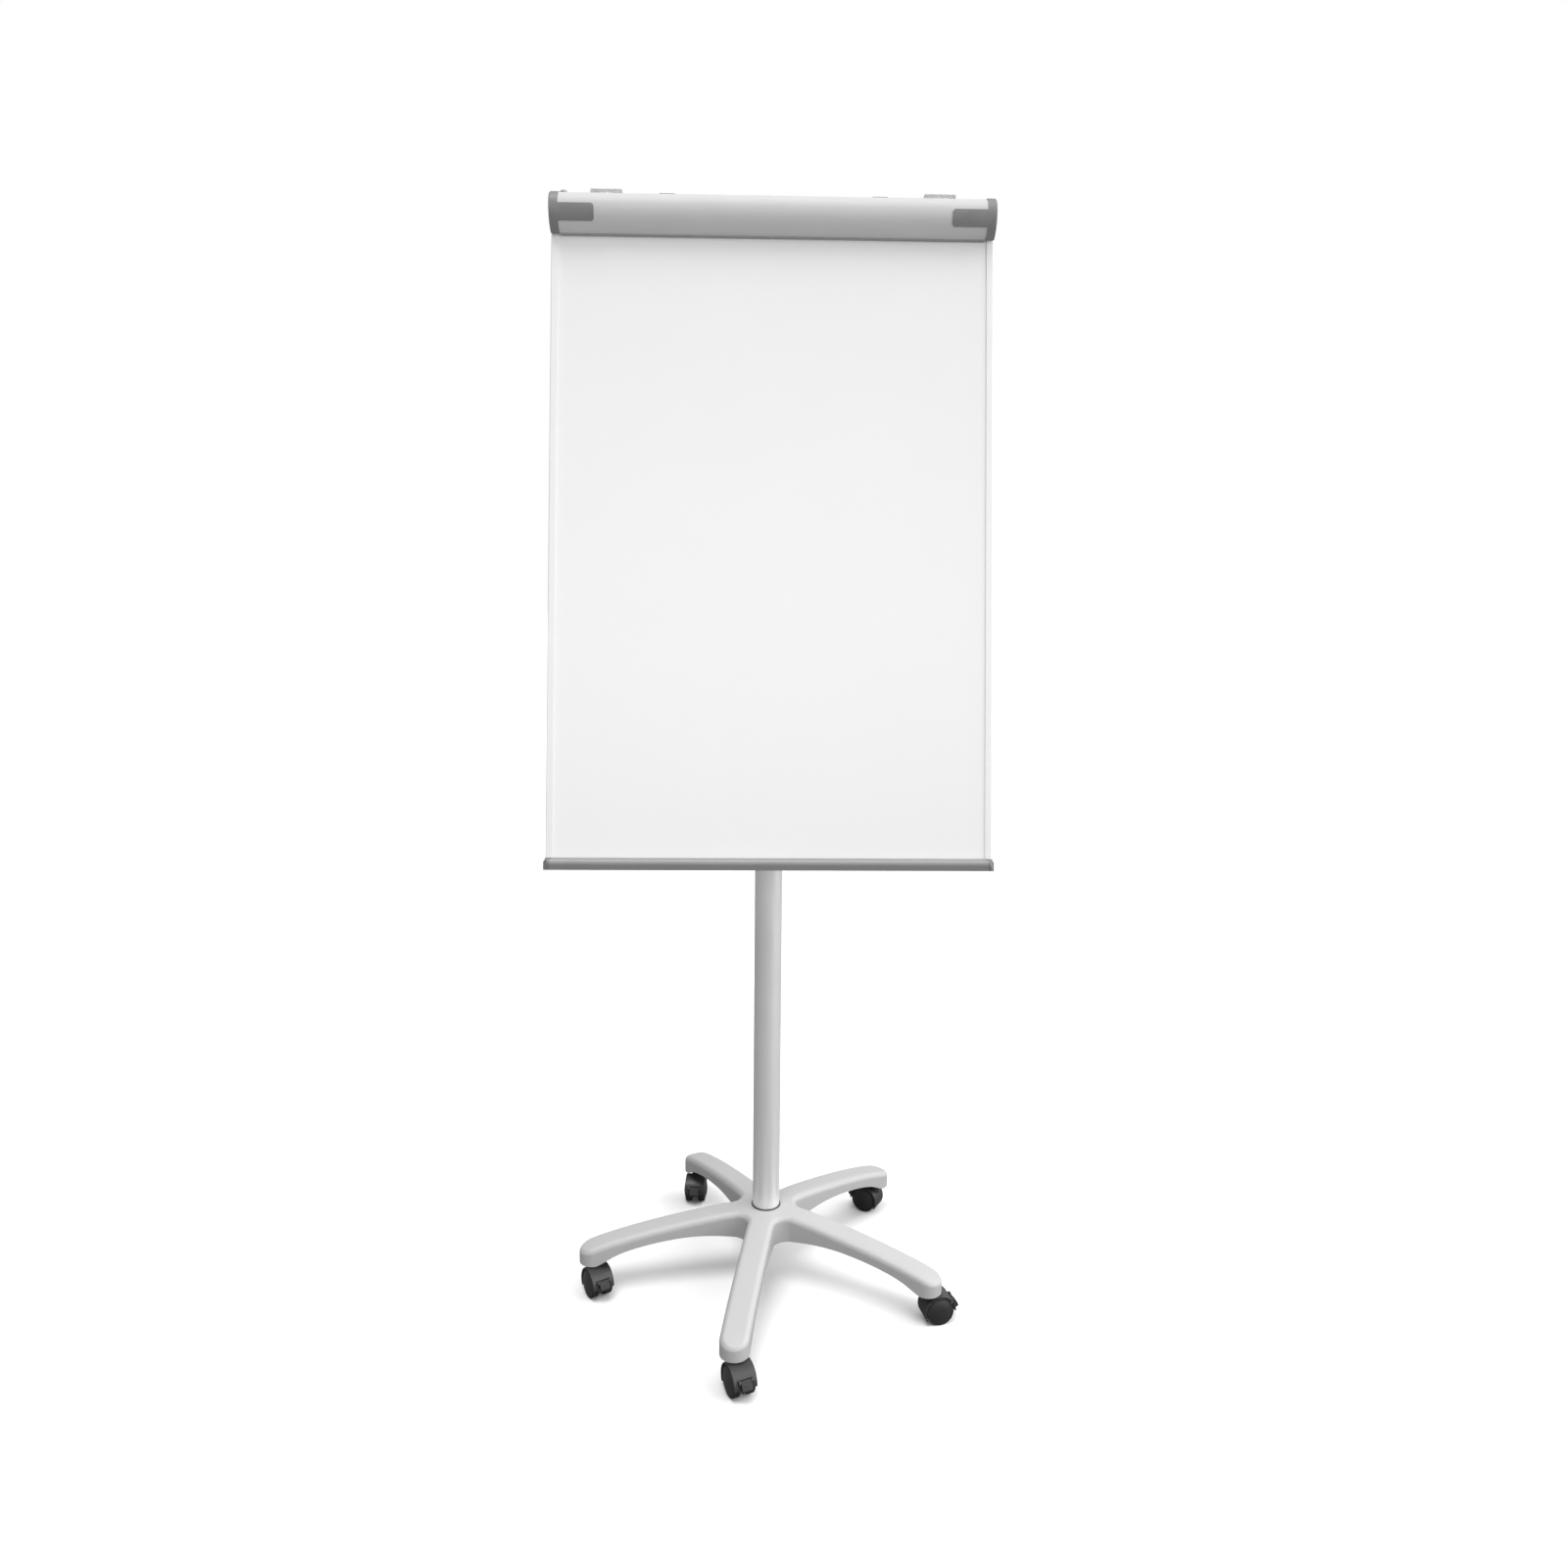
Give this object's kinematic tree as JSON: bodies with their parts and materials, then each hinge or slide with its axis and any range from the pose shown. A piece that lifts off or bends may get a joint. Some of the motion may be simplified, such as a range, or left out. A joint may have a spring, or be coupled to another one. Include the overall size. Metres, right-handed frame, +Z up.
{
  "type": "flipchart easel",
  "caption": "Mobile flipchart easel: tilting magnetic whiteboard with pad clamp and pen tray on a height-adjustable column and braked castor star base.",
  "frame": {"origin": "on the floor, under the axis of the column, with the castor wheels standing on z = 0", "axes": "+Z up along the column, the writing face looks towards -Y and leans back 7 degrees, +X to the right of a person writing on it"},
  "size_m": [0.702, 0.6177, 1.79],
  "materials": {
    "base_paint": "satin",
    "anodised": "satin",
    "enamel": "gloss",
    "honeycomb": "matte",
    "zinc_sheet": "satin",
    "bracket_paint": "satin",
    "steel": "satin",
    "grey_plastic": "satin",
    "black_plastic": "satin",
    "hood_plastic": "satin",
    "wheel_plastic": "satin",
    "clear_plastic": "gloss",
    "strip_rubber": "matte",
    "bumper_rubber": "matte"
  },
  "bodies": {
    "base": {"star_base": "base_paint", "hub_ring": "black_plastic", "column_tube": "anodised", "column_plug": "steel", "column_bolt": "steel", "guide_bush": "black_plastic", "clamp_collar": "black_plastic", "castor_front_stem": "steel", "castor_right_stem": "steel", "castor_rear_right_stem": "steel", "castor_rear_left_stem": "steel", "castor_left_stem": "steel"},
    "height_knob": {"height_knob": "black_plastic"},
    "mast": {"mast_tube": "anodised", "mast_glide": "black_plastic", "tilt_head": "grey_plastic"},
    "board": {"tilt_bracket": "bracket_paint", "bracket_screws": "steel", "tilt_bolt": "steel", "writing_sheet": "enamel", "panel_core": "honeycomb", "backing_sheet": "zinc_sheet", "side_frame_left": "anodised", "side_frame_right": "anodised", "tray": "anodised", "tray_caps": "grey_plastic", "header_rail": "anodised", "hinge_pins": "steel", "stop_button": "bumper_rubber"},
    "tilt_knob": {"tilt_knob": "black_plastic"},
    "clamp": {"clamp_bar": "anodised", "clamp_caps": "grey_plastic", "clamp_strip": "strip_rubber"},
    "hook_left": {"hook_left": "clear_plastic"},
    "hook_right": {"hook_right": "clear_plastic"},
    "castor_front": {"castor_front_hood": "hood_plastic", "castor_front_axle": "steel"},
    "castor_front_wheel_a": {"castor_front_wheel_a": "wheel_plastic"},
    "castor_front_wheel_b": {"castor_front_wheel_b": "wheel_plastic"},
    "castor_front_lever": {"castor_front_lever": "black_plastic"},
    "castor_right": {"castor_right_hood": "hood_plastic", "castor_right_axle": "steel"},
    "castor_right_wheel_a": {"castor_right_wheel_a": "wheel_plastic"},
    "castor_right_wheel_b": {"castor_right_wheel_b": "wheel_plastic"},
    "castor_right_lever": {"castor_right_lever": "black_plastic"},
    "castor_rear_right": {"castor_rear_right_hood": "hood_plastic", "castor_rear_right_axle": "steel"},
    "castor_rear_right_wheel_a": {"castor_rear_right_wheel_a": "wheel_plastic"},
    "castor_rear_right_wheel_b": {"castor_rear_right_wheel_b": "wheel_plastic"},
    "castor_rear_right_lever": {"castor_rear_right_lever": "black_plastic"},
    "castor_rear_left": {"castor_rear_left_hood": "hood_plastic", "castor_rear_left_axle": "steel"},
    "castor_rear_left_wheel_a": {"castor_rear_left_wheel_a": "wheel_plastic"},
    "castor_rear_left_wheel_b": {"castor_rear_left_wheel_b": "wheel_plastic"},
    "castor_rear_left_lever": {"castor_rear_left_lever": "black_plastic"},
    "castor_left": {"castor_left_hood": "hood_plastic", "castor_left_axle": "steel"},
    "castor_left_wheel_a": {"castor_left_wheel_a": "wheel_plastic"},
    "castor_left_wheel_b": {"castor_left_wheel_b": "wheel_plastic"},
    "castor_left_lever": {"castor_left_lever": "black_plastic"}
  },
  "joints": [
    {"name": "height_slide", "type": "slide", "parent": "base", "child": "mast", "axis": [0, 0, 1], "range_m": [-0.12, 0.25]},
    {"name": "height_knob_turn", "type": "hinge", "parent": "base", "child": "height_knob", "pos_m": [0, 0.045, 0.848], "axis": [0, 1, 0], "range_deg": [0, 270]},
    {"name": "board_tilt", "type": "hinge", "parent": "mast", "child": "board", "pos_m": [0, 0, 1.04831], "axis": [-1, 0, 0], "range_deg": [-7, 23]},
    {"name": "tilt_knob_turn", "type": "hinge", "parent": "board", "child": "tilt_knob", "pos_m": [0.03, 0, 1.04831], "axis": [1, 0, 0], "range_deg": [0, 270]},
    {"name": "clamp_open", "type": "hinge", "parent": "board", "child": "clamp", "pos_m": [0, 0.0242, 1.77629], "axis": [-1, 0, 0], "range_deg": [0, 85]},
    {"name": "hook_left_slide", "type": "slide", "parent": "board", "child": "hook_left", "axis": [1, 0, 0], "range_m": [-0.03, 0.06]},
    {"name": "hook_right_slide", "type": "slide", "parent": "board", "child": "hook_right", "axis": [1, 0, 0], "range_m": [-0.06, 0.03]},
    {"name": "castor_front_swivel", "type": "hinge", "parent": "base", "child": "castor_front", "pos_m": [-0.04836, -0.28594, 0.04], "axis": [0, 0, 1], "continuous": true},
    {"name": "castor_front_roll_a", "type": "hinge", "parent": "castor_front", "child": "castor_front_wheel_a", "pos_m": [-0.04145, -0.30147, 0.0225], "axis": [0.9135, 0.4067, 0], "continuous": true},
    {"name": "castor_front_roll_b", "type": "hinge", "parent": "castor_front", "child": "castor_front_wheel_b", "pos_m": [-0.04145, -0.30147, 0.0225], "axis": [0.9135, 0.4067, 0], "continuous": true},
    {"name": "castor_front_brake", "type": "hinge", "parent": "castor_front", "child": "castor_front_lever", "pos_m": [-0.0316, -0.32359, 0.03328], "axis": [0.9135, 0.4067, 0], "range_deg": [0, 15]},
    {"name": "castor_right_swivel", "type": "hinge", "parent": "base", "child": "castor_right", "pos_m": [0.257, -0.13436, 0.04], "axis": [0, 0, 1], "continuous": true},
    {"name": "castor_right_roll_a", "type": "hinge", "parent": "castor_right", "child": "castor_right_wheel_a", "pos_m": [0.27356, -0.13053, 0.0225], "axis": [-0.225, 0.9744, 0], "continuous": true},
    {"name": "castor_right_roll_b", "type": "hinge", "parent": "castor_right", "child": "castor_right_wheel_b", "pos_m": [0.27356, -0.13053, 0.0225], "axis": [-0.225, 0.9744, 0], "continuous": true},
    {"name": "castor_right_brake", "type": "hinge", "parent": "castor_right", "child": "castor_right_lever", "pos_m": [0.29715, -0.12509, 0.03328], "axis": [-0.225, 0.9744, 0], "range_deg": [0, 15]},
    {"name": "castor_rear_right_swivel", "type": "hinge", "parent": "base", "child": "castor_rear_right", "pos_m": [0.2072, 0.2029, 0.04], "axis": [0, 0, 1], "continuous": true},
    {"name": "castor_rear_right_roll_a", "type": "hinge", "parent": "castor_rear_right", "child": "castor_rear_right_wheel_a", "pos_m": [0.19233, 0.21114, 0.0225], "axis": [-0.4848, -0.8746, 0], "continuous": true},
    {"name": "castor_rear_right_roll_b", "type": "hinge", "parent": "castor_rear_right", "child": "castor_rear_right_wheel_b", "pos_m": [0.19233, 0.21114, 0.0225], "axis": [-0.4848, -0.8746, 0], "continuous": true},
    {"name": "castor_rear_right_brake", "type": "hinge", "parent": "castor_rear_right", "child": "castor_rear_right_lever", "pos_m": [0.17116, 0.22288, 0.03328], "axis": [-0.4848, -0.8746, 0], "range_deg": [0, 15]},
    {"name": "castor_rear_left_swivel", "type": "hinge", "parent": "base", "child": "castor_rear_left", "pos_m": [-0.12894, 0.25976, 0.04], "axis": [0, 0, 1], "continuous": true},
    {"name": "castor_rear_left_roll_a", "type": "hinge", "parent": "castor_rear_left", "child": "castor_rear_left_wheel_a", "pos_m": [-0.13013, 0.2428, 0.0225], "axis": [0.9976, -0.0698, 0], "continuous": true},
    {"name": "castor_rear_left_roll_b", "type": "hinge", "parent": "castor_rear_left", "child": "castor_rear_left_wheel_b", "pos_m": [-0.13013, 0.2428, 0.0225], "axis": [0.9976, -0.0698, 0], "continuous": true},
    {"name": "castor_rear_left_brake", "type": "hinge", "parent": "castor_rear_left", "child": "castor_rear_left_lever", "pos_m": [-0.13182, 0.21865, 0.03328], "axis": [0.9976, -0.0698, 0], "range_deg": [0, 15]},
    {"name": "castor_left_swivel", "type": "hinge", "parent": "base", "child": "castor_left", "pos_m": [-0.28689, -0.04236, 0.04], "axis": [0, 0, 1], "continuous": true},
    {"name": "castor_left_roll_a", "type": "hinge", "parent": "castor_left", "child": "castor_left_wheel_a", "pos_m": [-0.27813, -0.05694, 0.0225], "axis": [0.8572, 0.515, 0], "continuous": true},
    {"name": "castor_left_roll_b", "type": "hinge", "parent": "castor_left", "child": "castor_left_wheel_b", "pos_m": [-0.27813, -0.05694, 0.0225], "axis": [0.8572, 0.515, 0], "continuous": true},
    {"name": "castor_left_brake", "type": "hinge", "parent": "castor_left", "child": "castor_left_lever", "pos_m": [-0.26566, -0.07769, 0.03328], "axis": [0.8572, 0.515, 0], "range_deg": [0, 15]}
  ]
}
